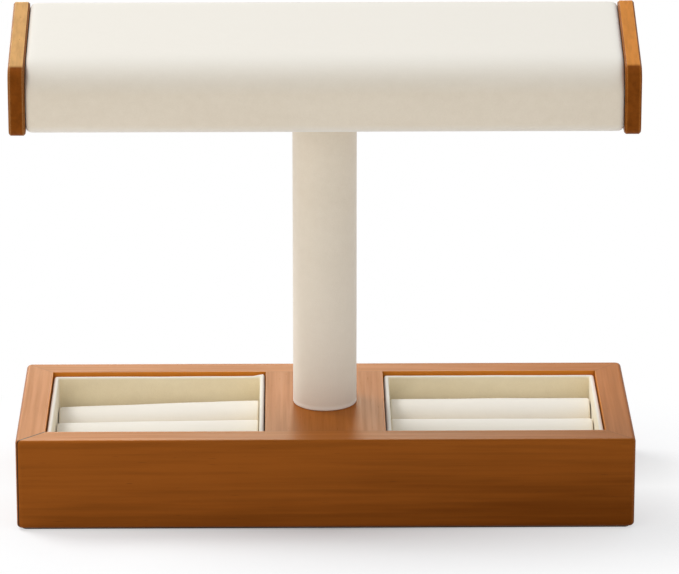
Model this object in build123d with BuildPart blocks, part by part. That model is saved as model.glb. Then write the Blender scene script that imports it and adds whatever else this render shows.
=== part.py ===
from build123d import *
import os
from math import cos, radians, sin, tan

# Watch stand: a mitred wooden base with two lined ring trays, a covered post and a padded watch bar.
# Millimetres, +Z up, +X along the bar, -Y towards the viewer, origin on the table under the post.

# Base frame
base_length = 250.5
base_depth = 96.0
base_height = 38.4
rail_width = 11.5
rail_edge_radius = 1.5
base_corner_radius = 2.5
block_width = 49.0
board_ledge = 5.0
board_clearance = 0.2
felt_thickness = 0.8
felt_margin = 2.0
felt_corner_radius = 2.0
felt_hole_margin = 1.0

# Ring trays, dropped into the wells on each side of the block
tray_clearance = 0.5
tray_recess = 1.5
tray_wall = 1.2
tray_floor = 1.2
tray_corner_radius = 0.8
lining_thickness = 0.4
lining_skirt = 10.0

# Ring pads, lying in the trays
pad_clearance = 0.4
card_thickness = 1.5
roll_places = ("back", "middle", "front")
roll_height = 22.0
roll_crown = 9.5
roll_gap = 0.3
roll_end_radius = 2.0
sleeve_thickness = 0.6

# Post
post_diameter = 26.2
post_length = 122.6
post_cover_thickness = 0.8
post_bore_clearance = 1.0

# Tie bolt, from under the base into the bar
bolt_diameter = 6.0
bolt_head_diameter = 10.5
bolt_head_height = 3.3
bolt_head_chamfer = 1.5
bolt_socket_width = 4.0
bolt_socket_depth = 2.0
bolt_clearance = 0.4
bolt_tip_gap = 2.0
washer_rim = 1.0
washer_thickness = 1.2
washer_clearance = 0.75
head_recess = 0.5
insert_wall = 2.0
insert_length = 15.0
insert_clearance = 0.05
insert_seat_gap = 0.1

# Watch bar: a wedge section, level below and rising to the back on top
bar_length = 252.4
bar_depth = 57.0
bar_front_height = 27.4
bar_slope = 15.0
cap_thickness = 6.6
cap_bottom_radius = 4.0
cap_front_radius = 6.5
cap_peak_radius = 3.0
cap_edge_chamfer = 0.7
cover_inset_below = 0.9
cover_inset_sides = 0.5
cover_inset_above = 0.1
cover_bottom_radius = 4.5
cover_front_radius = 15.0
cover_peak_radius = 3.0
cover_end_radius = 2.5
cover_thickness = 0.8
padding_thickness = 3.0
padding_below = 1.0
core_least_radius = 1.0

# Steps from side to end where a soft piece rounds over
rounding_steps = 2

# Dowels between the bar's core and its end caps
dowel_diameter = 6.0
dowel_clearance = 0.1
dowel_end_gap = 0.5
dowel_in_core = 18.0
dowel_cap_cover = 2.6
dowel_edge_distance = 12.0
dowel_rise = 13.0

# Heights of the base, worked out from the sizes above
frame_bottom = felt_thickness
board_thickness = head_recess + bolt_head_height + washer_thickness
board_top = frame_bottom + board_thickness
rim_top = base_height - tray_recess
shell_top = rim_top - lining_thickness
shell_floor_top = board_top + tray_floor
pocket_floor = shell_floor_top + lining_thickness
card_top = pocket_floor + card_thickness
roll_top = card_top + roll_height
roll_shoulder = roll_top - roll_crown
bar_seat = base_height + post_length

# Wells, trays and pads in plan
opening_length = base_length - 2 * rail_width
opening_depth = base_depth - 2 * rail_width
well_length = (opening_length - block_width) / 2
well_center = (block_width + well_length) / 2
tray_length = well_length - 2 * tray_clearance
tray_depth = opening_depth - 2 * tray_clearance
shell_length = tray_length - 2 * lining_thickness
shell_depth = tray_depth - 2 * lining_thickness
cavity_length = shell_length - 2 * tray_wall
cavity_depth = shell_depth - 2 * tray_wall
pocket_length = cavity_length - 2 * lining_thickness
pocket_depth = cavity_depth - 2 * lining_thickness
pad_length = pocket_length - 2 * pad_clearance
pad_depth = pocket_depth - 2 * pad_clearance
foam_length = pad_length - 2 * roll_end_radius
roll_pitch = (pad_depth + roll_gap) / len(roll_places)
roll_width = roll_pitch - roll_gap
back_row = (pad_depth - roll_width) / 2

# Bolt, washer and insert
bolt_hole_radius = bolt_diameter / 2 + bolt_clearance
washer_radius = bolt_head_diameter / 2 + washer_rim
access_radius = washer_radius + washer_clearance
head_top = board_top - washer_thickness
insert_radius = bolt_diameter / 2 + insert_wall

# Layers of the bar, from the caps inwards
cap_bottom = bar_seat - cover_inset_below
cover_length = bar_length - 2 * cap_thickness
core_length = cover_length - 2 * cover_end_radius
core_draw = cover_thickness + padding_thickness
core_inset_below = cover_inset_below + cover_thickness + padding_below
core_inset_sides = cover_inset_sides + core_draw
core_inset_above = cover_inset_above + core_draw
core_bottom_radius = max(core_least_radius, cover_bottom_radius - core_draw)
core_front_radius = max(core_least_radius, cover_front_radius - core_draw)
core_peak_radius = max(core_least_radius, cover_peak_radius - core_draw)
core_bottom = cap_bottom + core_inset_below
insert_top = core_bottom + insert_length
bolt_tip = insert_top - bolt_tip_gap

# Dowels, in the YZ plane and along X
dowel_offset = bar_depth / 2 - core_inset_sides - dowel_edge_distance
dowel_height = core_bottom + dowel_rise
dowel_in_cap = cap_thickness - dowel_cap_cover
dowel_inner_end = core_length / 2 - dowel_in_core
dowel_outer_end = cover_length / 2 + dowel_in_cap - dowel_end_gap


def save(part, label):
    """Name a finished piece and write it."""
    part.label = label
    export_step(part, f"parts/{label}.step")


def rounded_stations(half_length, end_radius):
    """Places along a soft piece, end to end, with how far its section is drawn in at each."""
    angles = [radians(90 * step / rounding_steps) for step in range(rounding_steps + 1)]
    far_end = [(half_length - end_radius * (1 - sin(a)), end_radius * (1 - cos(a))) for a in angles]
    near_end = [(-x, draw) for x, draw in reversed(far_end)]
    return near_end + far_end


os.makedirs("parts", exist_ok=True)

# Base frame in one piece, before it is cut into mitred rails
with BuildPart() as frame:
    with BuildSketch(Plane.XY.offset(frame_bottom)):
        RectangleRounded(base_length, base_depth, base_corner_radius)
    extrude(amount=base_height - frame_bottom)
    fillet(frame.faces().filter_by(Axis.Z).edges(), rail_edge_radius)
    with BuildSketch(Plane.XY.offset(frame_bottom)):
        Rectangle(opening_length, opening_depth)
    extrude(amount=base_height - frame_bottom, mode=Mode.SUBTRACT)
    with BuildSketch(Plane.XY.offset(frame_bottom)):
        Rectangle(opening_length + 2 * board_ledge, opening_depth + 2 * board_ledge)
    extrude(amount=board_thickness, mode=Mode.SUBTRACT)

# Front and back rails, cut from the frame along the mitres
with BuildPart() as front_rail:
    add(frame.part)
    with BuildSketch():
        with BuildLine():
            Polyline(
                (-base_length / 2, -base_depth / 2),
                (base_length / 2, -base_depth / 2),
                (opening_length / 2, -opening_depth / 2),
                (-opening_length / 2, -opening_depth / 2),
                close=True,
            )
        make_face()
    extrude(amount=base_height, mode=Mode.INTERSECT)
save(front_rail.part, "front_rail")

with BuildPart() as back_rail:
    mirror(front_rail.part, about=Plane.XZ)
save(back_rail.part, "back_rail")

# Left and right rails
with BuildPart() as left_rail:
    add(frame.part)
    with BuildSketch():
        with BuildLine():
            Polyline(
                (-base_length / 2, -base_depth / 2),
                (-opening_length / 2, -opening_depth / 2),
                (-opening_length / 2, opening_depth / 2),
                (-base_length / 2, base_depth / 2),
                close=True,
            )
        make_face()
    extrude(amount=base_height, mode=Mode.INTERSECT)
save(left_rail.part, "left_rail")

with BuildPart() as right_rail:
    mirror(left_rail.part, about=Plane.YZ)
save(right_rail.part, "right_rail")

# Block between the trays, bored for the bolt
with BuildPart() as post_block:
    with BuildSketch(Plane.XY.offset(board_top)):
        Rectangle(block_width, opening_depth)
    extrude(amount=base_height - board_top)
    Hole(bolt_hole_radius)
save(post_block.part, "post_block")

# Bottom board, let into the rails and thick enough to hide the bolt's head
with BuildPart() as bottom_board:
    with BuildSketch(Plane.XY.offset(frame_bottom)):
        Rectangle(
            opening_length + 2 * (board_ledge - board_clearance),
            opening_depth + 2 * (board_ledge - board_clearance),
        )
        Circle(access_radius, mode=Mode.SUBTRACT)
    extrude(amount=board_thickness)
save(bottom_board.part, "bottom_board")

# Felt that the stand rests on
with BuildPart() as base_felt:
    with BuildSketch():
        RectangleRounded(
            base_length - 2 * felt_margin,
            base_depth - 2 * felt_margin,
            felt_corner_radius,
        )
        Circle(access_radius + felt_hole_margin, mode=Mode.SUBTRACT)
    extrude(amount=felt_thickness)
save(base_felt.part, "base_felt")

# Post: a bored wooden core in a close sleeve
with BuildPart() as post_core:
    with BuildSketch(Plane.XY.offset(base_height)):
        Circle(post_diameter / 2 - post_cover_thickness)
        Circle(bolt_diameter / 2 + post_bore_clearance, mode=Mode.SUBTRACT)
    extrude(amount=post_length)
save(post_core.part, "post_core")

with BuildPart() as post_cover:
    with BuildSketch(Plane.XY.offset(base_height)):
        Circle(post_diameter / 2)
        Circle(post_diameter / 2 - post_cover_thickness, mode=Mode.SUBTRACT)
    extrude(amount=post_length)
save(post_cover.part, "post_cover")

# Tie bolt with a bevelled socket head, and its washer
with BuildPart() as tie_bolt:
    with BuildSketch(Plane.XY.offset(head_top - bolt_head_height)):
        Circle(bolt_head_diameter / 2)
    extrude(amount=bolt_head_height)
    chamfer(tie_bolt.faces().sort_by(Axis.Z)[0].edges(), bolt_head_chamfer)
    with BuildSketch(Plane.XY.offset(head_top - bolt_head_height)):
        RegularPolygon(bolt_socket_width / 2, 6, major_radius=False)
    extrude(amount=bolt_socket_depth, mode=Mode.SUBTRACT)
    with BuildSketch(Plane.XY.offset(head_top)):
        Circle(bolt_diameter / 2)
    extrude(amount=bolt_tip - head_top)
save(tie_bolt.part, "tie_bolt")

with BuildPart() as tie_washer:
    with BuildSketch(Plane.XY.offset(head_top)):
        Circle(washer_radius)
        Circle(bolt_hole_radius, mode=Mode.SUBTRACT)
    extrude(amount=washer_thickness)
save(tie_washer.part, "tie_washer")


def bar_section(below, sides, above, bottom_radius, front_radius, peak_radius):
    """The bar's section, drawn in from the caps' outline by the given amounts below, beside and above."""
    rise = tan(radians(bar_slope))
    drop = above / cos(radians(bar_slope))
    front = sides - bar_depth / 2
    back = bar_depth / 2 - sides
    bottom = cap_bottom + below
    front_top = cap_bottom + bar_front_height + sides * rise - drop
    back_top = cap_bottom + bar_front_height + (bar_depth - sides) * rise - drop
    with BuildSketch() as section:
        with BuildLine():
            Polyline((front, bottom), (back, bottom), (back, back_top), (front, front_top), close=True)
        make_face()
        fillet(section.vertices().sort_by(Axis.Y)[:2], bottom_radius)
        fillet(section.vertices().sort_by(Axis.Y)[-2], front_radius)
        fillet(section.vertices().sort_by(Axis.Y)[-1], peak_radius)
    return section.sketch


def cover_section(draw):
    """The cover's section, drawn in all round by the given amount."""
    return bar_section(
        cover_inset_below + draw,
        cover_inset_sides + draw,
        cover_inset_above + draw,
        cover_bottom_radius - draw,
        cover_front_radius - draw,
        cover_peak_radius - draw,
    )


def drill_dowels(plane, depth):
    """Drill the pair of dowel holes into the current piece from a plane across the bar."""
    with Locations(plane):
        with Locations((-dowel_offset, 0), (dowel_offset, 0)):
            Hole(dowel_diameter / 2 + dowel_clearance, depth)


# Planes at the bar's seat and under its core, facing down
seat_plane = Plane((0, 0, bar_seat), z_dir=(0, 0, -1))
core_plane = Plane((0, 0, core_bottom), z_dir=(0, 0, -1))

# Planes across the bar at the dowels' height, facing out from the core's ends and the cover's
left_core_end = Plane((-core_length / 2, 0, dowel_height), x_dir=(0, 1, 0), z_dir=(-1, 0, 0))
right_core_end = Plane((core_length / 2, 0, dowel_height), x_dir=(0, 1, 0), z_dir=(1, 0, 0))
left_cover_end = left_core_end.offset(cover_end_radius)
right_cover_end = right_core_end.offset(cover_end_radius)
right_cap_face = Plane(right_cover_end.origin, x_dir=(0, 1, 0), z_dir=(-1, 0, 0))

padding_section = cover_section(cover_thickness)
core_section = bar_section(
    core_inset_below,
    core_inset_sides,
    core_inset_above,
    core_bottom_radius,
    core_front_radius,
    core_peak_radius,
)

# Core of the bar, with a blind hole for the insert and holes for the dowels
with BuildPart() as bar_core:
    with BuildSketch(Plane.YZ):
        add(core_section)
    extrude(amount=core_length / 2, both=True)
    with Locations(core_plane):
        Hole(insert_radius + insert_seat_gap, insert_length + bolt_tip_gap)
    drill_dowels(left_core_end, dowel_in_core + dowel_end_gap)
    drill_dowels(right_core_end, dowel_in_core + dowel_end_gap)
save(bar_core.part, "bar_core")

# Foam wrapped round the core, thin below
with BuildPart() as bar_padding:
    with BuildSketch(Plane.YZ):
        add(padding_section)
        add(core_section, mode=Mode.SUBTRACT)
    extrude(amount=core_length / 2, both=True)
    with Locations(seat_plane):
        Hole(bolt_hole_radius, core_bottom - bar_seat)
save(bar_padding.part, "bar_padding")

# Cover over the padding, folded in at both ends of the core
with BuildPart() as bar_cover:
    for x, draw in rounded_stations(cover_length / 2, cover_end_radius):
        with BuildSketch(Plane.YZ.offset(x)):
            add(cover_section(draw))
    loft(ruled=True)
    with BuildSketch(Plane.YZ):
        add(padding_section)
    extrude(amount=core_length / 2, both=True, mode=Mode.SUBTRACT)
    with Locations(seat_plane):
        Hole(bolt_hole_radius, cover_thickness)
    drill_dowels(left_cover_end, cover_end_radius)
    drill_dowels(right_cover_end, cover_end_radius)
save(bar_cover.part, "bar_cover")

# Wooden end caps
with BuildPart() as right_end_cap:
    with BuildSketch(Plane.YZ.offset(cover_length / 2)):
        add(bar_section(0, 0, 0, cap_bottom_radius, cap_front_radius, cap_peak_radius))
    extrude(amount=cap_thickness)
    chamfer(right_end_cap.faces().filter_by(Axis.X).edges(), cap_edge_chamfer)
    drill_dowels(right_cap_face, dowel_in_cap)
save(right_end_cap.part, "right_end_cap")

with BuildPart() as left_end_cap:
    mirror(right_end_cap.part, about=Plane.YZ)
save(left_end_cap.part, "left_end_cap")

# Four dowels between the core and the caps
with BuildPart() as cap_dowels:
    with BuildSketch(Plane((dowel_inner_end, 0, dowel_height), x_dir=(0, 1, 0), z_dir=(1, 0, 0))):
        with Locations((-dowel_offset, 0), (dowel_offset, 0)):
            Circle(dowel_diameter / 2)
    extrude(amount=dowel_outer_end - dowel_inner_end)
    mirror(about=Plane.YZ)
save(cap_dowels.part, "cap_dowels")

# Insert that the bolt turns in
with BuildPart() as bar_insert:
    with BuildSketch(Plane.XY.offset(core_bottom)):
        Circle(insert_radius)
        Circle(bolt_diameter / 2 + insert_clearance, mode=Mode.SUBTRACT)
    extrude(amount=insert_length)
save(bar_insert.part, "bar_insert")


def make_tray_shell(center):
    """Board box of one tray."""
    with BuildPart() as shell:
        with BuildSketch(Plane((center, 0, board_top))):
            RectangleRounded(shell_length, shell_depth, tray_corner_radius)
        extrude(amount=shell_top - board_top)
        with BuildSketch(Plane((center, 0, shell_floor_top))):
            Rectangle(cavity_length, cavity_depth)
        extrude(amount=shell_top - shell_floor_top, mode=Mode.SUBTRACT)
    return shell.part


def make_tray_lining(center):
    """Microfibre inside one tray, over its rim and a little way down the outside."""
    with BuildPart() as lining:
        with BuildSketch(Plane((center, 0, rim_top))):
            RectangleRounded(tray_length, tray_depth, tray_corner_radius + lining_thickness)
        extrude(amount=-lining_skirt)
        with BuildSketch(Plane((center, 0, shell_top))):
            RectangleRounded(shell_length, shell_depth, tray_corner_radius)
        extrude(amount=-lining_skirt, mode=Mode.SUBTRACT)
        with BuildSketch(Plane((center, 0, shell_floor_top))):
            Rectangle(cavity_length, cavity_depth)
        extrude(amount=rim_top - shell_floor_top)
        with BuildSketch(Plane((center, 0, pocket_floor))):
            Rectangle(pocket_length, pocket_depth)
        extrude(amount=rim_top - pocket_floor, mode=Mode.SUBTRACT)
    return lining.part


def make_ring_card(center):
    """Card under the rolls of one pad."""
    with BuildPart() as card:
        with BuildSketch(Plane((center, 0, pocket_floor))):
            Rectangle(pad_length, pad_depth)
        extrude(amount=card_thickness)
    return card.part


def roll_section(inset):
    """A roll's section, standing on its card with a crowned top."""
    half_width = roll_width / 2 - inset
    crown = roll_crown - inset
    with BuildSketch() as section:
        with BuildLine():
            Polyline(
                (half_width, roll_shoulder),
                (half_width, card_top),
                (-half_width, card_top),
                (-half_width, roll_shoulder),
            )
            EllipticalCenterArc((0, roll_shoulder), half_width, crown, start_angle=90, arc_size=90)
            EllipticalCenterArc((0, roll_shoulder), half_width, crown, start_angle=0, arc_size=90)
        make_face()
    return section.sketch


def roll_plane(x, row):
    """A plane across a roll."""
    return Plane((x, row, 0), x_dir=(0, 1, 0), z_dir=(1, 0, 0))


def make_ring_sleeve(center, row):
    """Microfibre of one roll, open where it is glued to the card and tucked in at its rounded ends."""
    with BuildPart() as sleeve:
        for x, draw in rounded_stations(pad_length / 2, roll_end_radius):
            with BuildSketch(roll_plane(center + x, row)):
                add(roll_section(draw))
        loft(ruled=True)
        with BuildSketch(roll_plane(center, row)):
            add(roll_section(sleeve_thickness))
        extrude(amount=foam_length / 2, both=True, mode=Mode.SUBTRACT)
    return sleeve.part


def make_ring_foam(center, rows):
    """Foam cores of one pad."""
    with BuildPart() as foam:
        for row in rows:
            with BuildSketch(roll_plane(center, row)):
                add(roll_section(sleeve_thickness))
        extrude(amount=foam_length / 2, both=True)
    return foam.part


roll_rows = [back_row - index * roll_pitch for index in range(len(roll_places))]

# Both trays, with their pads
for side, center in (("left", -well_center), ("right", well_center)):
    save(make_tray_shell(center), f"{side}_tray_shell")
    save(make_tray_lining(center), f"{side}_tray_lining")
    save(make_ring_card(center), f"{side}_ring_card")
    save(make_ring_foam(center, roll_rows), f"{side}_ring_foam")
    for place, row in zip(roll_places, roll_rows):
        save(make_ring_sleeve(center, row), f"{side}_ring_sleeve_{place}")
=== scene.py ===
import math

import bmesh
import bpy
from mathutils import Euler, Matrix, Vector, noise


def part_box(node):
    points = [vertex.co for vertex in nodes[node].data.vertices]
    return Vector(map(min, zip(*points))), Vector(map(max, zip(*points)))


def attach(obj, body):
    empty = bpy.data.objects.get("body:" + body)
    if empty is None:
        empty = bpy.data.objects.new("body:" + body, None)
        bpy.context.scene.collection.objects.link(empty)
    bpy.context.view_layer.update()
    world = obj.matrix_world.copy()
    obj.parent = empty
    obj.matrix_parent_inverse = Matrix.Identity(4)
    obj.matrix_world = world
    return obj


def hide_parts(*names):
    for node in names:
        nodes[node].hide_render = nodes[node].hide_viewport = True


# Looks of the watch stand: lacquered wood, cream microfibre over padding, and a white studio.
# Metres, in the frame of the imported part: +X along the bar, -Y towards the viewer, +Z up.

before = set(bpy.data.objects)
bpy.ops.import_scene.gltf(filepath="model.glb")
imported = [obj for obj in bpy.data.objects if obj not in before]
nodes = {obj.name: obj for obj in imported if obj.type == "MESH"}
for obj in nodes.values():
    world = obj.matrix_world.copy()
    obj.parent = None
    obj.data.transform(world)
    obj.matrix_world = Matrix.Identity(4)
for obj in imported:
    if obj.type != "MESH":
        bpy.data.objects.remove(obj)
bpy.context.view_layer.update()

MM = 0.001

# Image and camera
image_width = 679
sensor_width = 36.0
focal_pixels = 4700.0
camera_tilt = math.radians(18.25)
camera_yaw = math.radians(-0.6)
camera_back = 1.9523
camera_rise = 0.0834
camera_right = 0.00605
camera_reach = 50.0

# Bar cover
bar_slope = math.radians(15)
cover_bottom_radius = 4.5 * MM
cover_front_radius = 15 * MM
cover_peak_radius = 3 * MM
cover_end_radius = 2.5 * MM
cover_points_round = 176
cover_station_step = 4 * MM
cover_start_inset = 0.05 * MM
cover_swell = 0.3 * MM
cover_waviness = 0.03 * MM
cover_wave_length = 35 * MM
cover_held_height = 2 * MM

# Post cover
post_points_round = 96
post_ring_step = 4 * MM
post_cover_thickness = 0.8 * MM
post_hem_radius = 0.6 * MM
post_hem_steps = 3
post_seam_depth = 0.25 * MM
post_seam_half_width = 0.7 * MM
post_waviness = 0.03 * MM
post_wave_length = 20 * MM

# Tray linings
lining_skirt = 10 * MM
lining_thickness = 0.34 * MM
lining_wall = 2.0 * MM
lining_outer_radius = 1.2 * MM
lining_inner_radius = 0.5 * MM
lining_floor_radius = 0.9 * MM
lining_ring_step = 3 * MM
lining_floor_steps = 3
lining_floor_insets = (6 * MM, 14 * MM, 22 * MM, 30 * MM)
side_steps = 24
rim_steps = 6
rim_waviness = 0.12 * MM
rim_wave_length = 20 * MM
rim_loose_depth = 6 * MM
lifted_corner_rise = 1.0 * MM
lifted_corner_spread = 2.5 * MM

# Ring rolls
roll_crown = 9.5 * MM
roll_end_radius = 0.9 * MM
roll_station_step = 2.8 * MM
roll_side_steps = 5
roll_crown_steps = 16
roll_end_steps = 3
roll_start_inset = 0.45 * MM
roll_swell = 0.5 * MM
roll_waviness = 0.18 * MM
roll_wave_length = 16 * MM
roll_held_share = 0.02
roll_places = ("back", "middle", "front")
roll_seeds = {"left": 4, "right": 8}

# Share of its height that each roll of a pad has lost at its left and right ends
roll_slump = {
    "left_back": (0.15, 0.025),
    "left_middle": (0.1, 0.05),
    "left_front": (0.07, 0.04),
    "right_back": (0.01, 0.0),
    "right_middle": (0.045, 0.045),
    "right_front": (0.03, 0.03),
}

# Cloth settings for what is stuffed
cloth_frames = 20
cloth_pressure = 4.0
cloth_quality = 6
cloth_mass = 0.2
evening_passes = 12

# Felt
felt_hole = 8 * MM
felt_corner_radius = 2 * MM
felt_rings = 10

# Layers of the wood's texture: stretch along and across the grain, per metre, and weight in its tone
band_stretch = (4, 90, 90)
fibre_stretch = (14, 520, 520)
streak_stretch = (14, 300, 300)
pore_stretch = (150, 1900, 1900)
blotch_stretch = (16, 26, 26)
band_weight = 0.22
streak_weight = 0.35
blotch_weight = 0.2

# Layers of the microfibre's texture, likewise
brushed_stretch = (22, 60, 60)
mottle_stretch = (260, 260, 260)
nap_stretch = (1900, 1900, 1900)
brushed_weight = 0.4
mottle_weight = 0.4
nap_weight = 0.3

# Wood and microfibre
lacquer_ior = 1.15
# The reach of the painted highlight along rounded wood edges
edge_highlight_radius = 1.2 * MM
wood_relief = 0.12 * MM
pore_width = 0.08
nap_ior = 1.2
nap_relief = 0.12 * MM
hem_full = 1.2 * MM
hem_end = 2.4 * MM
foot_light_reach = 90 * MM

# Floor and lamps
floor_reach = 4.0
floor_colour = (0.92, 0.92, 0.92)
floor_lift = 0.17
shadow_length = 0.261
shadow_depth = 0.077
lamp_aim = Vector((0.0, 0.0, 0.08))
sky_light = (0.632, 0.653, 0.684)


# Node helpers

def add_node(tree, kind, inputs=None, **settings):
    """A shader node with its settings, and its inputs set to values or linked to sockets."""
    made = tree.nodes.new(kind)
    for key, value in settings.items():
        setattr(made, key, value)
    for key, value in (inputs or {}).items():
        if isinstance(value, bpy.types.NodeSocket):
            tree.links.new(value, made.inputs[key])
        else:
            made.inputs[key].default_value = value
    return made


def start_material(name):
    """A new material with one principled shader: (material, tree, shader)."""
    material = bpy.data.materials.new(name)
    material.use_nodes = True
    tree = material.node_tree
    tree.nodes.clear()
    shader = add_node(tree, "ShaderNodeBsdfPrincipled")
    output = add_node(tree, "ShaderNodeOutputMaterial")
    tree.links.new(shader.outputs["BSDF"], output.inputs["Surface"])
    return material, tree, shader


def object_coordinates(tree, stretch, turn=(0, 0, 0), shift=(0, 0, 0)):
    """Object coordinates in metres, turned, shifted and stretched into a texture's own space."""
    place = add_node(tree, "ShaderNodeTexCoord").outputs["Object"]
    turned = add_node(tree, "ShaderNodeMapping", {"Vector": place, "Rotation": turn, "Location": shift})
    return add_node(
        tree, "ShaderNodeMapping", {"Vector": turned.outputs["Vector"], "Scale": stretch}
    ).outputs["Vector"]


def noise_value(tree, vector, scale=1.0, detail=2.0, roughness=0.5, distortion=0.0):
    """A noise value round 0.5."""
    return add_node(
        tree,
        "ShaderNodeTexNoise",
        {
            "Vector": vector,
            "Scale": scale,
            "Detail": detail,
            "Roughness": roughness,
            "Distortion": distortion,
        },
    ).outputs["Fac"]


def remap(tree, value, low, high, to_low=0.0, to_high=1.0):
    """A value moved from one span to another, held inside it."""
    return add_node(
        tree,
        "ShaderNodeMapRange",
        {"Value": value, "From Min": low, "From Max": high, "To Min": to_low, "To Max": to_high},
        clamp=True,
    ).outputs["Result"]


def calculate(tree, operation, first, second):
    """One sum of two values."""
    return add_node(tree, "ShaderNodeMath", {0: first, 1: second}, operation=operation).outputs[0]


def blend_colours(tree, share, first, second, mode="MIX"):
    """Two colours mixed by a share."""
    made = add_node(
        tree,
        "ShaderNodeMix",
        {"Factor": share},
        data_type="RGBA",
        blend_type=mode,
    )
    for socket, value in ((made.inputs[6], first), (made.inputs[7], second)):
        if isinstance(value, bpy.types.NodeSocket):
            tree.links.new(value, socket)
        else:
            socket.default_value = (*value, 1.0)
    return made.outputs[2]


def bump(tree, height, strength, distance, before=None):
    """A bumped normal."""
    inputs = {"Height": height, "Strength": strength, "Distance": distance}
    if before is not None:
        inputs["Normal"] = before
    return add_node(tree, "ShaderNodeBump", inputs).outputs["Normal"]


def seen_directly(tree):
    """1 for what the camera sees, also in gloss or through glass, and 0 for what only lights the scene."""
    paths = add_node(tree, "ShaderNodeLightPath")
    seen = calculate(tree, "MAXIMUM", paths.outputs["Is Camera Ray"], paths.outputs["Is Glossy Ray"])
    return calculate(tree, "MAXIMUM", seen, paths.outputs["Is Transmission Ray"])


# Materials

grain_turns = {
    "x": (0, 0, 0),
    "y": (0, 0, math.radians(90)),
    "z": (0, math.radians(90), 0),
}


def make_wood(
    name, grain, seed, tones, gloss=0.4, shade_drift=(0, 0, 0), pore_level=0.73, seams=None, wall_bounce=None
):
    """Lacquered wood with its grain along one axis, a tone that drifts across the board, per metre, as
    painted shade, and a painted highlight on faces that point up and on rounded edges.
    """
    dark, light, painted_highlight = tones
    material, tree, shader = start_material(name)
    turn = grain_turns[grain]
    shift = (seed * 0.37, seed * 0.11, seed * 0.23)
    bands = noise_value(tree, object_coordinates(tree, band_stretch, turn, shift), 1, 3, 0.55, 0.2)
    fibres = noise_value(tree, object_coordinates(tree, fibre_stretch, turn, shift), 1, 3, 0.6)
    streaks = noise_value(tree, object_coordinates(tree, streak_stretch, turn, shift), 1, 2, 0.5, 0.15)
    pores = noise_value(tree, object_coordinates(tree, pore_stretch, turn, shift), 1, 1, 0.5)
    blotches = noise_value(tree, object_coordinates(tree, blotch_stretch, turn, shift), 1, 2, 0.5)

    tone = calculate(tree, "MULTIPLY", bands, band_weight)
    tone = calculate(tree, "ADD", tone, calculate(tree, "MULTIPLY", streaks, streak_weight))
    tone = calculate(tree, "ADD", tone, calculate(tree, "MULTIPLY", blotches, blotch_weight))
    # Painted shade: the tone drifts darker along the shade drift, which on the rails is towards the bottom
    # and the right.
    place = add_node(tree, "ShaderNodeTexCoord").outputs["Object"]
    lean = add_node(tree, "ShaderNodeVectorMath", {0: place, 1: shade_drift}, operation="DOT_PRODUCT")
    tone = calculate(tree, "ADD", tone, lean.outputs["Value"])
    colour = blend_colours(tree, remap(tree, tone, 0.12, 0.67), dark, light)

    # Painted highlight: faces that point up are blended towards the painted highlight tone.
    normal = add_node(tree, "ShaderNodeNewGeometry").outputs["Normal"]
    upward = add_node(tree, "ShaderNodeSeparateXYZ", {"Vector": normal}).outputs["Z"]
    colour = blend_colours(tree, remap(tree, upward, 0.88, 0.965, 0.0, 0.6), colour, painted_highlight)

    thread = remap(tree, fibres, 0.36, 0.6, 0.87, 1.04)
    colour = blend_colours(tree, 1.0, colour, thread, "MULTIPLY")
    hollow = remap(tree, pores, pore_level, pore_level + pore_width)
    colour = blend_colours(tree, calculate(tree, "MULTIPLY", hollow, 0.4), colour, pore_colour)

    # Painted highlight along rounded edges: they are blended towards the painted highlight tone.
    rounded = add_node(tree, "ShaderNodeBevel", {"Radius": edge_highlight_radius}, samples=6).outputs["Normal"]
    flatness = add_node(
        tree, "ShaderNodeVectorMath", {0: normal, 1: rounded}, operation="DOT_PRODUCT"
    ).outputs["Value"]
    colour = blend_colours(tree, remap(tree, flatness, 0.99, 0.82, 0.0, 0.55), colour, painted_highlight)

    # Painted bounce light: the rails' inner walls are blended towards a paler orange.
    if wall_bounce is not None:
        colour = blend_colours(tree, wall_bounce(tree), colour, wall_bounce_colour)
    if seams is not None:
        colour = blend_colours(tree, seams(tree), colour, seam_colour)
    tree.links.new(colour, shader.inputs["Base Color"])

    dull = remap(tree, fibres, 0.3, 0.7, gloss + 0.06, gloss - 0.04)
    dull = calculate(tree, "ADD", dull, calculate(tree, "MULTIPLY", hollow, 0.25))
    tree.links.new(dull, shader.inputs["Roughness"])
    relief = calculate(tree, "SUBTRACT", fibres, calculate(tree, "MULTIPLY", hollow, 0.8))
    tree.links.new(bump(tree, relief, 0.22, wood_relief), shader.inputs["Normal"])
    shader.inputs["IOR"].default_value = lacquer_ior
    shader.inputs["Specular Tint"].default_value = (1.0, 0.55, 0.22, 1.0)
    shader.inputs["Sheen Weight"].default_value = 0.05
    shader.inputs["Sheen Roughness"].default_value = 0.35
    shader.inputs["Sheen Tint"].default_value = (1.0, 0.78, 0.42, 1.0)
    return material


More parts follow.
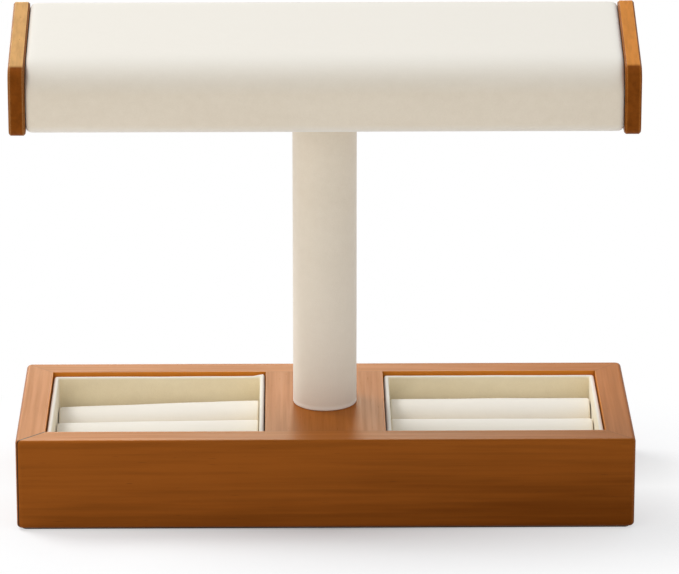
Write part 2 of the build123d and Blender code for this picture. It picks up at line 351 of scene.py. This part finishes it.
def make_microfibre(name, seed, tones, hem_height=None):
    """Suede-like microfibre: brushed nap, a painted sheen on level faces, painted light on the lower part
    above a hem, and a painted highlight along the hem.
    """
    dark, light, painted_sheen = tones
    material, tree, shader = start_material(name)
    shift = (seed * 0.19, seed * 0.29, seed * 0.13)
    brushed = noise_value(tree, object_coordinates(tree, brushed_stretch, shift=shift), 1, 3, 0.55, 0.5)
    mottle = noise_value(tree, object_coordinates(tree, mottle_stretch, shift=shift), 1, 4, 0.6)
    nap = noise_value(tree, object_coordinates(tree, nap_stretch, shift=shift), 1, 2, 0.6)
    tone = calculate(tree, "MULTIPLY", brushed, brushed_weight)
    tone = calculate(tree, "ADD", tone, calculate(tree, "MULTIPLY", mottle, mottle_weight))
    tone = calculate(tree, "ADD", tone, calculate(tree, "MULTIPLY", nap, nap_weight))
    colour = blend_colours(tree, remap(tree, tone, 0.35, 0.75), dark, light)
    # Painted sheen: faces that face up or down are blended towards the painted sheen colour.
    normal = add_node(tree, "ShaderNodeNewGeometry").outputs["Normal"]
    upright = add_node(tree, "ShaderNodeSeparateXYZ", {"Vector": normal}).outputs["Z"]
    level = calculate(tree, "ABSOLUTE", upright, 0.0)
    paleness = remap(tree, level, 0.15, 0.9, 0.0, 0.85)
    # Painted light on the lower part of the post, strongest at the hem.
    if hem_height is not None:
        place = add_node(tree, "ShaderNodeTexCoord").outputs["Object"]
        height = add_node(tree, "ShaderNodeSeparateXYZ", {"Vector": place}).outputs["Z"]
        painted_foot_light = remap(tree, height, hem_height, hem_height + foot_light_reach, 0.5, 0.0)
        paleness = calculate(tree, "MAXIMUM", paleness, painted_foot_light)
    colour = blend_colours(tree, paleness, colour, painted_sheen)
    # Painted highlight along the hem.
    if hem_height is not None:
        hem_highlight = remap(tree, height, hem_height + hem_full, hem_height + hem_end, 1.0, 0.0)
        colour = blend_colours(tree, hem_highlight, colour, hem_highlight_colour)
    tree.links.new(colour, shader.inputs["Base Color"])
    tree.links.new(remap(tree, nap, 0.2, 0.8, 0.82, 0.98), shader.inputs["Roughness"])
    fuzz = calculate(tree, "ADD", nap, calculate(tree, "MULTIPLY", mottle, 1.4))
    tree.links.new(bump(tree, fuzz, 0.45, nap_relief), shader.inputs["Normal"])
    shader.inputs["IOR"].default_value = nap_ior
    shader.inputs["Sheen Weight"].default_value = 0.55
    shader.inputs["Sheen Roughness"].default_value = 0.5
    shader.inputs["Sheen Tint"].default_value = (1.0, 1.0, 1.0, 1.0)
    return material


def make_felt(name, colour):
    """Pressed felt, matted and fuzzy."""
    material, tree, shader = start_material(name)
    mat = noise_value(tree, object_coordinates(tree, (420, 420, 420)), 1, 5, 0.7)
    lumps = noise_value(tree, object_coordinates(tree, (70, 70, 70)), 1, 2, 0.5)
    share = calculate(tree, "MULTIPLY", mat, 0.7)
    share = calculate(tree, "ADD", share, calculate(tree, "MULTIPLY", lumps, 0.3))
    deep = tuple(0.6 * part for part in colour)
    tree.links.new(blend_colours(tree, share, deep, colour), shader.inputs["Base Color"])
    tree.links.new(remap(tree, mat, 0.3, 0.7, 0.85, 1.0), shader.inputs["Roughness"])
    tree.links.new(bump(tree, mat, 0.5, 0.2 * MM), shader.inputs["Normal"])
    shader.inputs["Sheen Weight"].default_value = 0.2
    return material


def make_board(name, colour):
    """Grey board with short paper fibres."""
    material, tree, shader = start_material(name)
    pulp = noise_value(tree, object_coordinates(tree, (900, 300, 900)), 1, 4, 0.65)
    flecks = remap(tree, noise_value(tree, object_coordinates(tree, (700, 700, 700)), 1, 1), 0.68, 0.74)
    deep = tuple(0.78 * part for part in colour)
    fleck = tuple(0.4 * part for part in colour)
    tone = blend_colours(tree, pulp, deep, colour)
    tone = blend_colours(tree, calculate(tree, "MULTIPLY", flecks, 0.4), tone, fleck)
    tree.links.new(tone, shader.inputs["Base Color"])
    tree.links.new(remap(tree, pulp, 0.3, 0.7, 0.75, 0.92), shader.inputs["Roughness"])
    tree.links.new(bump(tree, pulp, 0.2, 0.1 * MM), shader.inputs["Normal"])
    return material


def make_metal(name, colour, rough):
    """Machined metal with fine turning marks and dull patches."""
    material, tree, shader = start_material(name)
    marks = noise_value(tree, object_coordinates(tree, (150, 150, 2600)), 1, 2, 0.5)
    patches = noise_value(tree, object_coordinates(tree, (240, 240, 240)), 1, 3, 0.6)
    deep = tuple(0.75 * part for part in colour)
    tree.links.new(blend_colours(tree, patches, deep, colour), shader.inputs["Base Color"])
    tree.links.new(remap(tree, patches, 0.3, 0.7, rough - 0.06, rough + 0.1), shader.inputs["Roughness"])
    tree.links.new(bump(tree, marks, 0.15, 0.05 * MM), shader.inputs["Normal"])
    shader.inputs["Metallic"].default_value = 1.0
    return material


# Mesh helpers

def make_object(name, vertices, faces):
    """A smooth-shaded mesh object with its faces turned outwards."""
    mesh = bpy.data.meshes.new(name)
    mesh.from_pydata([tuple(v) for v in vertices], [], faces)
    shape = bmesh.new()
    shape.from_mesh(mesh)
    bmesh.ops.recalc_face_normals(shape, faces=shape.faces)
    shape.to_mesh(mesh)
    shape.free()
    mesh.shade_smooth()
    piece = bpy.data.objects.new(name, mesh)
    bpy.context.scene.collection.objects.link(piece)
    return piece


def ring_faces(ring_count, points_round, closed=False):
    """Quads between rings that follow each other, and between the last and the first if closed."""
    faces = []
    for ring in range(ring_count if closed else ring_count - 1):
        here = ring * points_round
        there = (ring + 1) % ring_count * points_round
        for point in range(points_round):
            after = (point + 1) % points_round
            faces.append((here + point, here + after, there + after, there + point))
    return faces


def loft(name, rings, close_ends=True):
    """A mesh through rings of as many points each, with its ends closed over."""
    points_round = len(rings[0])
    vertices = [v for ring in rings for v in ring]
    faces = ring_faces(len(rings), points_round)
    if close_ends:
        faces.append(tuple(range(points_round)))
        faces.append(tuple(range(len(vertices) - points_round, len(vertices))))
    return make_object(name, vertices, faces)


def smooth_more(piece, levels=1):
    """Round a piece by subdivision."""
    modifier = piece.modifiers.new("Rounding", "SUBSURF")
    modifier.levels = levels
    modifier.render_levels = levels
    return piece


def even_spans(low, high, step):
    """Places from one end to the other, about a step apart."""
    count = max(1, round(abs(high - low) / step))
    return [low + (high - low) * index / count for index in range(count + 1)]


def rounded_stations(low, high, end_radius, step, end_steps=4):
    """Places along a soft piece, end to end, with how far its section is drawn in at each."""
    angles = [math.radians(90 * index / end_steps) for index in range(end_steps + 1)]
    run_in = [(end_radius * (1 - math.sin(a)), end_radius * (1 - math.cos(a))) for a in angles]
    first = [(low + x, draw) for x, draw in reversed(run_in)]
    last = [(high - x, draw) for x, draw in run_in]
    middle = [(x, 0.0) for x in even_spans(low + end_radius, high - end_radius, step)[1:-1]]
    return first + middle + last


def filleted(corners, radii, steps=10):
    """A closed outline through corners, each rounded by its radius."""
    points = []
    count = len(corners)
    for index in range(count):
        corner = corners[index]
        before = (corners[index - 1] - corner).normalized()
        after = (corners[(index + 1) % count] - corner).normalized()
        half = before.angle(after) / 2
        centre = corner + (before + after).normalized() * radii[index] / math.sin(half)
        start = corner + before * radii[index] / math.tan(half) - centre
        turn = math.pi - 2 * half
        side = 1 if before.x * after.y - before.y * after.x < 0 else -1
        for step in range(steps + 1):
            points.append(centre + Matrix.Rotation(side * turn * step / steps, 2) @ start)
    return points


def resampled(points, count):
    """A closed outline, with points spread evenly along it."""
    closed = points + [points[0]]
    lengths = [0.0]
    for first, second in zip(closed, closed[1:]):
        lengths.append(lengths[-1] + (second - first).length)
    found = []
    segment = 0
    for index in range(count):
        target = lengths[-1] * index / count
        while lengths[segment + 1] < target:
            segment += 1
        span = lengths[segment + 1] - lengths[segment]
        share = (target - lengths[segment]) / span if span > 0 else 0.0
        found.append(closed[segment].lerp(closed[segment + 1], share))
    return found


def waver(point, size, seed):
    """A smooth value from about -1 to 1 that changes over the given length."""
    return noise.noise(Vector(point) / size + Vector((seed * 7.3, seed * 3.1, seed * 5.7)))


def evened(piece, values):
    """Values at a piece's points, each shared out with its neighbours."""
    for _ in range(evening_passes):
        sums = list(values)
        counts = [1] * len(values)
        for edge in piece.data.edges:
            first, second = edge.vertices
            sums[first] += values[second]
            sums[second] += values[first]
            counts[first] += 1
            counts[second] += 1
        values = [total / count for total, count in zip(sums, counts)]
    return values


def stuff(piece, held, swell):
    """Swell a closed piece by cloth pressure, by no more than the swell, with some points held."""
    start = [v.co.copy() for v in piece.data.vertices]
    group = piece.vertex_groups.new(name="held")
    group.add(held, 1.0, "REPLACE")
    modifier = piece.modifiers.new("Stuffing", "CLOTH")
    settings = modifier.settings
    settings.quality = cloth_quality
    settings.mass = cloth_mass
    settings.vertex_group_mass = "held"
    settings.use_pressure = True
    settings.uniform_pressure_force = cloth_pressure
    settings.effector_weights.gravity = 0.0
    modifier.collision_settings.use_collision = False
    modifier.point_cache.frame_start = 1
    modifier.point_cache.frame_end = cloth_frames
    scene = bpy.context.scene
    for number in range(1, cloth_frames + 1):
        scene.frame_set(number)
    shown = piece.evaluated_get(bpy.context.evaluated_depsgraph_get())
    swollen = [v.co.copy() for v in shown.data.vertices]
    piece.modifiers.remove(modifier)
    piece.vertex_groups.clear()
    scene.frame_set(1)
    vertices = piece.data.vertices
    rises = [(new - old).dot(v.normal) for v, old, new in zip(vertices, start, swollen)]
    rises = evened(piece, [max(0.0, min(swell, rise)) for rise in rises])
    normals = [v.normal.copy() for v in vertices]
    for vertex, normal, rise in zip(vertices, normals, rises):
        vertex.co += normal * rise


# Colours, as they look in even white light, except the painted highlight, sheen, bounce-light and
# hem-highlight colours

wood_dark = (0.135, 0.031, 0.002)
wood_light = (0.29, 0.08, 0.01)
# The third tone is a painted highlight, for faces that point up and for rounded edges.
wood_tones = (wood_dark, wood_light, (0.45, 0.135, 0.014))
# The third tone of each cap is its painted highlight on faces that point up, brighter on the left cap,
# which the light reaches more strongly.
cap_tones = {
    "left_end_cap": (wood_dark, wood_light, (0.9, 0.53, 0.2)),
    "right_end_cap": (wood_dark, wood_light, (0.85, 0.33, 0.06)),
}
inner_wood_tones = ((0.42, 0.27, 0.13), (0.55, 0.38, 0.2), (0.58, 0.41, 0.23))
pore_colour = (0.05, 0.018, 0.006)
seam_colour = (0.03, 0.011, 0.004)
# Painted bounce light on the rails' inner walls
wall_bounce_colour = (0.7, 0.24, 0.03)
# Painted sheen for level faces of the cream microfibre
cream_painted_sheen = (0.81, 0.775, 0.7)
# Painted highlight along the post's hem
hem_highlight_colour = (0.96, 0.91, 0.8)
cream_tones = ((0.755, 0.655, 0.515), (0.82, 0.722, 0.582), cream_painted_sheen)
# The post's third tone is its painted sheen and painted light.
post_tones = (*cream_tones[:2], (0.9, 0.83, 0.72))
lining_tones = ((0.84, 0.725, 0.5), (0.91, 0.8, 0.565), cream_painted_sheen)

# Frame of the base, for the lines where its pieces are glued
frame_half_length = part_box("right_rail")[1].x
frame_half_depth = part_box("back_rail")[1].y
rail_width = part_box("right_rail")[1].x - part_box("right_rail")[0].x
block_half_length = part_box("post_block")[1].x
block_half_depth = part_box("post_block")[1].y
seam_half_width = 0.32 * MM
wall_bounce_reach = 0.1 * MM


def frame_insets(tree):
    """How far a point lies in from the frame's ends and from its long sides."""
    place = add_node(tree, "ShaderNodeTexCoord").outputs["Object"]
    parts = add_node(tree, "ShaderNodeSeparateXYZ", {"Vector": place})
    along = calculate(tree, "ABSOLUTE", parts.outputs["X"], 0.0)
    across = calculate(tree, "ABSOLUTE", parts.outputs["Y"], 0.0)
    from_end = calculate(tree, "SUBTRACT", frame_half_length, along)
    from_side = calculate(tree, "SUBTRACT", frame_half_depth, across)
    return from_end, from_side


def painted_wall_bounce(tree):
    """Share of the rails' inner walls, which get painted bounce light, paler than the rest."""
    from_end, from_side = frame_insets(tree)
    inset = calculate(tree, "MINIMUM", from_end, from_side)
    inside = calculate(tree, "GREATER_THAN", inset, rail_width - wall_bounce_reach)
    return calculate(tree, "MULTIPLY", inside, 0.85)


def frame_seams(tree):
    """Dark glue lines at the mitres, most open at the front left, and faint ones along the block."""
    from_end, from_side = frame_insets(tree)
    off_mitre = calculate(tree, "ABSOLUTE", calculate(tree, "SUBTRACT", from_end, from_side), 0.0)
    mitre = remap(tree, off_mitre, seam_half_width, 2.2 * seam_half_width, 1.0, 0.0)
    place = add_node(tree, "ShaderNodeTexCoord").outputs["Object"]
    toward = (1 / frame_half_length, 1 / frame_half_depth, 0.0)
    lean = add_node(tree, "ShaderNodeVectorMath", {0: place, 1: toward}, operation="DOT_PRODUCT")
    openness = remap(tree, lean.outputs["Value"], -1.6, -0.2, 1.0, 0.25)
    mitre = calculate(tree, "MULTIPLY", mitre, openness)
    off_block = calculate(tree, "SUBTRACT", from_side, frame_half_depth - block_half_depth)
    off_block = calculate(tree, "ABSOLUTE", off_block, 0.0)
    block_line = remap(tree, off_block, seam_half_width, 2.2 * seam_half_width, 0.25, 0.0)
    beside_block = calculate(tree, "GREATER_THAN", from_end, frame_half_length - block_half_length)
    return calculate(tree, "MAXIMUM", mitre, calculate(tree, "MULTIPLY", block_line, beside_block))


def dress(node, material):
    """Give a CAD node its material."""
    nodes[node].data.materials.clear()
    nodes[node].data.materials.append(material)


rail_grain = {"front_rail": "x", "back_rail": "x", "left_rail": "y", "right_rail": "y"}
# Painted shade on the rails: darker towards the right and towards the bottom.
rail_shade_drift = (-1.5, 0.0, 10.0)
for seed, (node, grain) in enumerate(rail_grain.items()):
    material = make_wood(
        f"wood_{node}",
        grain,
        seed + 1,
        wood_tones,
        shade_drift=rail_shade_drift,
        seams=frame_seams,
        wall_bounce=painted_wall_bounce,
    )
    dress(node, material)
dress("post_block", make_wood("wood_post_block", "y", 5, wood_tones, pore_level=0.7, seams=frame_seams))
for seed, (node, tones) in enumerate(cap_tones.items()):
    dress(node, make_wood(f"wood_{node}", "y", seed + 6, tones))

inner_wood = make_wood("inner_wood", "x", 8, inner_wood_tones, 0.6)
board = make_board("grey_board", (0.55, 0.5, 0.42))
steel = make_metal("zinc_steel", (0.62, 0.62, 0.6), 0.32)
brass = make_metal("insert_brass", (0.72, 0.52, 0.24), 0.36)
felt_material = make_felt("base_felt", (0.11, 0.07, 0.045))
microfibre = make_microfibre("cream_microfibre", 1, cream_tones)
lining_microfibre = make_microfibre("lining_microfibre", 2, lining_tones)
post_microfibre = make_microfibre("post_microfibre", 3, post_tones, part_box("post_cover")[0].z)

plain_nodes = {
    "bottom_board": inner_wood,
    "post_core": inner_wood,
    "bar_core": inner_wood,
    "cap_dowels": inner_wood,
    "tie_bolt": steel,
    "tie_washer": steel,
    "bar_insert": brass,
    "left_tray_shell": board,
    "right_tray_shell": board,
    "left_ring_card": board,
    "right_ring_card": board,
}
for node, material in plain_nodes.items():
    dress(node, material)


# Bar cover: a padded wedge, swollen a little between its ends

def peak_height(high):
    """Height of the sharp corner that the cover's rounded peak stands for."""
    arc_centre = high.z - cover_peak_radius
    return arc_centre + cover_peak_radius * (1 / math.cos(bar_slope) + math.tan(bar_slope))


def cover_outline(draw, low, high):
    """The cover's section in Y and Z, drawn in all round by the given amount."""
    rise = math.tan(bar_slope)
    drop = draw / math.cos(bar_slope)
    back_top = peak_height(high)
    front_top = back_top - (high.y - low.y) * rise
    corners = [
        Vector((low.y + draw, low.z + draw)),
        Vector((high.y - draw, low.z + draw)),
        Vector((high.y - draw, back_top - draw * rise - drop)),
        Vector((low.y + draw, front_top + draw * rise - drop)),
    ]
    radii = (cover_bottom_radius, cover_bottom_radius, cover_peak_radius, cover_front_radius)
    return resampled(filleted(corners, [radius - draw for radius in radii]), cover_points_round)


cover_low, cover_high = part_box("bar_cover")
rings = []
for x, draw in rounded_stations(cover_low.x, cover_high.x, cover_end_radius, cover_station_step):
    ring = []
    for point in cover_outline(draw + cover_start_inset, cover_low, cover_high):
        place = Vector((x, point.x, point.y))
        out = (place - Vector((x, 0, (cover_low.z + cover_high.z) / 2))).normalized()
        ring.append(place + out * cover_waviness * waver(place, cover_wave_length, 1))
    rings.append(ring)
bar_cover = loft("bar_cover_cloth", rings)
held = []
for vertex in bar_cover.data.vertices:
    at_end = min(vertex.co.x - cover_low.x, cover_high.x - vertex.co.x) < cover_end_radius
    if at_end or vertex.co.z < cover_low.z + cover_held_height:
        held.append(vertex.index)
stuff(bar_cover, held, cover_swell)
smooth_more(bar_cover)
bar_cover.data.materials.append(microfibre)
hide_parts("bar_cover", "bar_padding")
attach(bar_cover, "bar")


# Post cover: a sleeve with turned hems and a butt seam at the back

post_low, post_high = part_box("post_cover")
post_radius = (post_high.x - post_low.x) / 2


def post_ring(radius, height):
    """One ring of the sleeve, drawn in at its seam."""
    ring = []
    for index in range(post_points_round):
        angle = 2 * math.pi * index / post_points_round
        seam = math.exp(-((angle - math.pi / 2) * post_radius / post_seam_half_width) ** 2)
        place = Vector((math.cos(angle) * radius, math.sin(angle) * radius, height))
        reach = radius - post_seam_depth * seam - post_waviness * (1 + waver(place, post_wave_length, 2))
        ring.append(Vector((math.cos(angle) * reach, math.sin(angle) * reach, height)))
    return ring


hem = post_hem_radius
inside = post_radius - post_cover_thickness
lower_hem = []
for step in range(post_hem_steps + 1):
    angle = math.radians(90 * step / post_hem_steps)
    reach = post_radius - hem * (1 - math.sin(angle))
    lower_hem.append((reach, post_low.z + hem * (1 - math.cos(angle))))
upper_hem = [(radius, post_high.z + post_low.z - z) for radius, z in reversed(lower_hem)]
straight = even_spans(post_low.z + hem, post_high.z - hem, post_ring_step)[1:-1]
profile = [(inside, post_low.z + hem)] + lower_hem
profile += [(post_radius, z) for z in straight]
profile += upper_hem + [(inside, post_high.z - hem)]
post_rings = [post_ring(radius, height) for radius, height in profile]
post_cover = make_object(
    "post_cover_cloth",
    [v for ring in post_rings for v in ring],
    ring_faces(len(post_rings), post_points_round, closed=True),
)
smooth_more(post_cover)
post_cover.data.materials.append(post_microfibre)
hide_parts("post_cover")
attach(post_cover, "base")


# Tray linings: cloth glued into each tray, over its rim and a little way down outside

def rounded_rectangle(centre, half_length, half_depth, radius, side_count, corner_steps=4):
    """Points round a rectangle with rounded corners, as many for every size with the same side count."""
    hub_x = half_length - radius
    hub_y = half_depth - radius
    signs = ((1, 1), (-1, 1), (-1, -1), (1, -1))
    hubs = [Vector((centre.x + sx * hub_x, centre.y + sy * hub_y)) for sx, sy in signs]
    points = []
    for turn, hub in enumerate(hubs):
        for step in range(corner_steps + 1):
            angle = math.pi / 2 * (turn + step / corner_steps)
            points.append(hub + radius * Vector((math.cos(angle), math.sin(angle))))
        start = points[-1]
        end = start + hubs[(turn + 1) % len(hubs)] - hub
        for step in range(1, side_count):
            points.append(start.lerp(end, step / side_count))
    return points


def make_lining(side, body):
    """The cloth of one tray."""
    low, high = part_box(f"{side}_tray_lining")
    centre = (low + high) / 2
    half_length = (high.x - low.x) / 2
    half_depth = (high.y - low.y) / 2
    rim_radius = lining_wall / 2
    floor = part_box(f"{side}_ring_card")[0].z
    rim_foot = high.z - rim_radius
    profile = [(0.0, z) for z in even_spans(high.z - lining_skirt, rim_foot, lining_ring_step)]
    for step in range(1, rim_steps):
        angle = math.pi * step / rim_steps
        inward = rim_radius * (1 - math.cos(angle))
        profile.append((inward, high.z - rim_radius * (1 - math.sin(angle))))
    wall_heights = even_spans(rim_foot, floor + lining_floor_radius, lining_ring_step)
    profile += [(lining_wall, z) for z in wall_heights]
    for step in range(1, lining_floor_steps + 1):
        angle = math.pi / 2 * step / lining_floor_steps
        inward = lining_floor_radius * (1 - math.cos(angle))
        profile.append((lining_wall + inward, floor + lining_floor_radius * (1 - math.sin(angle))))
    profile += [(lining_wall + lining_floor_radius + inset, floor) for inset in lining_floor_insets]
    corner = Vector((high.x, high.y))
    rings = []
    for inset, height in profile:
        radius = max(lining_inner_radius, lining_outer_radius - inset)
        lift = max(0.0, min(1.0, (height - (high.z - rim_loose_depth)) / rim_loose_depth))
        ring = []
        outline = rounded_rectangle(centre, half_length - inset, half_depth - inset, radius, side_steps)
        for point in outline:
            place = Vector((point.x, point.y, height))
            rise = rim_waviness * waver(place, rim_wave_length, 3)
            if side == "left":
                off_corner = (point - corner).length / lifted_corner_spread
                rise += lifted_corner_rise * math.exp(-(off_corner ** 2))
            ring.append(place + Vector((0, 0, rise * lift)))
        rings.append(ring)
    points_round = len(rings[0])
    vertices = [v for ring in rings for v in ring]
    faces = ring_faces(len(rings), points_round)
    faces.append(tuple(range(len(vertices) - points_round, len(vertices))))
    lining = make_object(f"{side}_lining_cloth", vertices, faces)
    solid = lining.modifiers.new("Cloth thickness", "SOLIDIFY")
    solid.thickness = lining_thickness
    solid.offset = -1.0
    lining.data.materials.append(lining_microfibre)
    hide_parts(f"{side}_tray_lining")
    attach(lining, body)


# Ring rolls: foam in a tight sleeve, glued down along both sides

def roll_outline(draw, low, high, slump):
    """A roll's section in Y and Z, standing on its card, drawn in all round and lower by its slump."""
    half_width = (high.y - low.y) / 2 - draw
    middle = (high.y + low.y) / 2
    top = high.z - (high.z - low.z) * slump
    shoulder = top - roll_crown
    crown = roll_crown - draw
    heights = [low.z + (shoulder - low.z) * step / roll_side_steps for step in range(roll_side_steps)]
    points = [Vector((middle + half_width, z)) for z in heights]
    for step in range(roll_crown_steps + 1):
        angle = math.pi * step / roll_crown_steps
        points.append(Vector((middle + half_width * math.cos(angle), shoulder + crown * math.sin(angle))))
    points += [Vector((middle - half_width, z)) for z in reversed(heights)]
    points += [Vector((middle + half_width * share, low.z)) for share in (-0.5, 0.0, 0.5)]
    return points


def make_roll(side, place, seed):
    """One padded roll of a ring pad."""
    node = f"{side}_ring_sleeve_{place}"
    low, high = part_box(node)
    left_slump, right_slump = roll_slump[f"{side}_{place}"]
    rings = []
    held = []
    count = 0
    for x, draw in rounded_stations(low.x, high.x, roll_end_radius, roll_station_step, roll_end_steps):
        share = (x - low.x) / (high.x - low.x)
        slump = left_slump * (1 - share) + right_slump * share
        ring = []
        for point in roll_outline(draw + roll_start_inset, low, high, slump):
            spot = Vector((x, point.x, point.y))
            loose = max(0.0, (point.y - low.z) / (high.z - low.z))
            spot.z += roll_waviness * loose * waver(spot, roll_wave_length, seed)
            if loose < roll_held_share:
                held.append(count)
            count += 1
            ring.append(spot)
        rings.append(ring)
    roll = loft(f"{side}_roll_{place}", rings)
    stuff(roll, held, roll_swell)
    smooth_more(roll)
    roll.data.materials.append(microfibre)
    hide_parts(node, f"{side}_ring_foam")
    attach(roll, f"{side}_ring_pad")


for side in ("left", "right"):
    make_lining(side, f"{side}_tray")
    for count, place in enumerate(roll_places):
        make_roll(side, place, roll_seeds[side] + count)


# Felt under the base

felt_low, felt_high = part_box("base_felt")
felt_edge = rounded_rectangle(Vector((0, 0)), felt_high.x, felt_high.y, felt_corner_radius, side_steps)


def felt_ring(share, height):
    """One ring of the felt, from its edge at 0 to its bolt hole at 1."""
    ring = []
    for point in felt_edge:
        hole_point = point.normalized() * felt_hole
        spot = point.lerp(hole_point, share)
        ring.append(Vector((spot.x, spot.y, height)))
    return ring


shares = [index / felt_rings for index in range(felt_rings + 1)]
felt_top = [felt_ring(share, felt_high.z) for share in shares]
felt_under = [felt_ring(share, felt_low.z) for share in reversed(shares)]
felt_layers = felt_top + felt_under
felt = make_object(
    "base_felt_sheet",
    [v for ring in felt_layers for v in ring],
    ring_faces(len(felt_layers), len(felt_edge), closed=True),
)
felt.data.materials.append(felt_material)
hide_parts("base_felt")
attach(felt, "base")


# Floor, lamps, sky and camera

def make_floor_material():
    """Pale floor that keeps the shadow along the long sides and fades to plain white away from them."""
    material = bpy.data.materials.new("studio_floor")
    material.use_nodes = True
    tree = material.node_tree
    tree.nodes.clear()
    place = add_node(tree, "ShaderNodeTexCoord").outputs["Object"]
    parts = add_node(tree, "ShaderNodeSeparateXYZ", {"Vector": place})
    along = calculate(tree, "DIVIDE", parts.outputs["X"], shadow_length)
    off_side = calculate(tree, "ABSOLUTE", parts.outputs["Y"], 0.0)
    off_side = calculate(tree, "SUBTRACT", off_side, frame_half_depth)
    across = calculate(tree, "DIVIDE", off_side, shadow_depth)
    spot = add_node(tree, "ShaderNodeCombineXYZ", {"X": along, "Y": across}).outputs["Vector"]
    away = add_node(tree, "ShaderNodeVectorMath", {0: spot}, operation="LENGTH").outputs["Value"]
    whiteness = remap(tree, away, 0.0, 1.0, floor_lift, 1.0)
    share = calculate(tree, "MULTIPLY", seen_directly(tree), whiteness)
    matt = add_node(tree, "ShaderNodeBsdfDiffuse", {"Color": (*floor_colour, 1.0)})
    white = add_node(tree, "ShaderNodeEmission", {"Color": (1.0, 1.0, 1.0, 1.0), "Strength": 1.0})
    mixed = add_node(
        tree, "ShaderNodeMixShader", {0: share, 1: matt.outputs["BSDF"], 2: white.outputs["Emission"]}
    )
    output = add_node(tree, "ShaderNodeOutputMaterial")
    tree.links.new(mixed.outputs["Shader"], output.inputs["Surface"])
    return material


floor = make_object(
    "studio_floor",
    [(sx * floor_reach, sy * floor_reach, 0.0) for sx, sy in ((-1, -1), (1, -1), (1, 1), (-1, 1))],
    [(0, 1, 2, 3)],
)
floor.data.materials.append(make_floor_material())


def add_lamp(name, place, width, height, level, colour):
    """A soft lamp turned to the object, with the level that its face shines at."""
    data = bpy.data.lights.new(name, "AREA")
    data.shape = "RECTANGLE"
    data.size = width
    data.size_y = height
    data.energy = level * math.pi * width * height
    data.color = colour
    lamp = bpy.data.objects.new(name, data)
    bpy.context.scene.collection.objects.link(lamp)
    lamp.location = place
    lamp.rotation_euler = (lamp_aim - Vector(place)).to_track_quat("-Z", "Y").to_euler()
    return lamp


add_lamp("key_lamp", (-1.4, 0.82, 2.15), 1.1, 1.1, 10.2, (1.0, 1.0, 1.0))
add_lamp("front_lamp", (-0.9, -1.0, 0.8), 0.8, 0.8, 1.0, (1.0, 0.87, 0.68))
add_lamp("side_lamp", (-1.4, -0.1, 0.25), 0.5, 0.5, 1.6, (0.85, 0.92, 1.0))

# A screen behind the stand that only gloss shows, so that the back isn't lit too strongly
gloss_screen = add_lamp("gloss_screen", (-0.45, 1.4, 0.52), 1.3, 0.7, 5.4, (1.0, 0.92, 0.7))
gloss_screen.visible_diffuse = False

world = bpy.data.worlds.new("studio_sky")
bpy.context.scene.world = world
world.use_nodes = True
tree = world.node_tree
tree.nodes.clear()
sky_colour = blend_colours(tree, seen_directly(tree), sky_light, (1.0, 1.0, 1.0))
sky = add_node(tree, "ShaderNodeBackground", {"Color": sky_colour, "Strength": 1.0})
output = add_node(tree, "ShaderNodeOutputWorld")
tree.links.new(sky.outputs["Background"], output.inputs["Surface"])

camera_data = bpy.data.cameras.new("photo_camera")
camera_data.sensor_width = sensor_width
camera_data.lens = focal_pixels * sensor_width / image_width
camera_data.clip_end = camera_reach
camera = bpy.data.objects.new("photo_camera", camera_data)
bpy.context.scene.collection.objects.link(camera)
camera.rotation_euler = (math.pi / 2 - camera_tilt, 0.0, camera_yaw)
camera_turn = Euler(camera.rotation_euler).to_matrix()
camera.location = camera_turn @ Vector((camera_right, camera_rise, camera_back))
bpy.context.scene.camera = camera

bpy.context.scene.view_settings.view_transform = "Standard"
